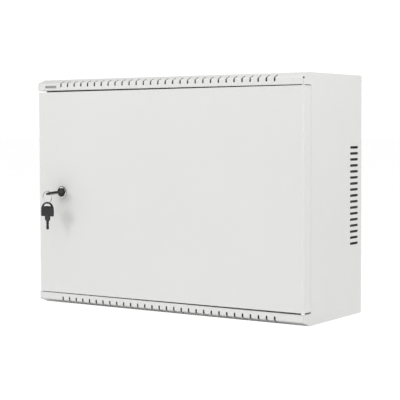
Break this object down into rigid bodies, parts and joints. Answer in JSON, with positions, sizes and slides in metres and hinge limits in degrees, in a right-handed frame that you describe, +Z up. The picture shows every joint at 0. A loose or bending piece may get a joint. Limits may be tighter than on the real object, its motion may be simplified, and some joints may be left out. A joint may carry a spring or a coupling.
{
  "type": "wall-mounted network rack cabinet",
  "caption": "Shallow wall-mounted sheet-metal network cabinet with a plain hinged front door, a cam lock with keys, narrow vent slots and 19-inch mounting rails inside.",
  "frame": {"origin": "centre of the flat base", "axes": "+X to the right as the door is faced, +Y to the wall, +Z up; the door faces -Y"},
  "size_m": [0.54, 0.2456, 0.396],
  "materials": {
    "powder_coat": "light grey satin powder coat",
    "zinc_plate": "bright zinc plate",
    "chrome": "polished chrome plate",
    "dark_chrome": "dark polished nickel-chrome",
    "plug_brass": "machined brass",
    "key_nickel": "worn dark nickel plate",
    "nylon": "natural nylon",
    "nameplate_grey": "matt grey"
  },
  "bodies": {
    "cabinet": {"left_side_panel": "powder_coat", "right_side_panel": "powder_coat", "top_cover": "powder_coat", "bottom_cover": "powder_coat", "back_panel": "powder_coat", "upper_hinge_pin": "zinc_plate", "lower_hinge_pin": "zinc_plate", "upper_hinge_washer": "nylon", "lower_hinge_washer": "nylon", "left_rack_rail": "zinc_plate", "right_rack_rail": "zinc_plate", "left_lower_bracket": "zinc_plate", "left_upper_bracket": "zinc_plate", "right_lower_bracket": "zinc_plate", "right_upper_bracket": "zinc_plate", "left_lower_rail_screw": "zinc_plate", "left_upper_rail_screw": "zinc_plate", "right_lower_rail_screw": "zinc_plate", "right_upper_rail_screw": "zinc_plate", "top_cable_cover": "powder_coat", "bottom_cable_cover": "powder_coat", "top_cover_left_screw": "zinc_plate", "top_cover_right_screw": "zinc_plate", "bottom_cover_left_screw": "zinc_plate", "bottom_cover_right_screw": "zinc_plate", "blank_nameplate": "nameplate_grey", "earth_stud": "plug_brass", "earth_nut": "plug_brass"},
    "door": {"door_panel": "powder_coat", "lock_housing": "dark_chrome", "lock_nut": "zinc_plate"},
    "lock_plug": {"lock_plug": "plug_brass", "lock_cam": "zinc_plate", "cam_screw": "zinc_plate"},
    "key": {"key": "key_nickel"},
    "key_ring": {"split_ring": "chrome"},
    "spare_key": {"spare_key": "key_nickel"}
  },
  "joints": [
    {"name": "door_hinge", "type": "hinge", "parent": "cabinet", "child": "door", "pos_m": [0.267, -0.094, 0.198], "axis": [0, 0, 1], "range_deg": [0, 115]},
    {"name": "lock_turn", "type": "hinge", "parent": "door", "child": "lock_plug", "pos_m": [-0.2165, -0.1, 0.199], "axis": [0, -1, 0], "range_deg": [0, 90]},
    {"name": "key_withdraw", "type": "slide", "parent": "lock_plug", "child": "key", "axis": [0, -1, 0], "range_m": [0, 0.012]},
    {"name": "ring_swing", "type": "hinge", "parent": "key", "child": "key_ring", "pos_m": [-0.2165, -0.12848, 0.198], "axis": [1, 0, 0], "range_deg": [-75, 0]},
    {"name": "spare_key_swing", "type": "hinge", "parent": "key_ring", "child": "spare_key", "pos_m": [-0.2165, -0.1371, 0.1799], "axis": [0, 1, 0], "range_deg": [-70, 70]}
  ]
}
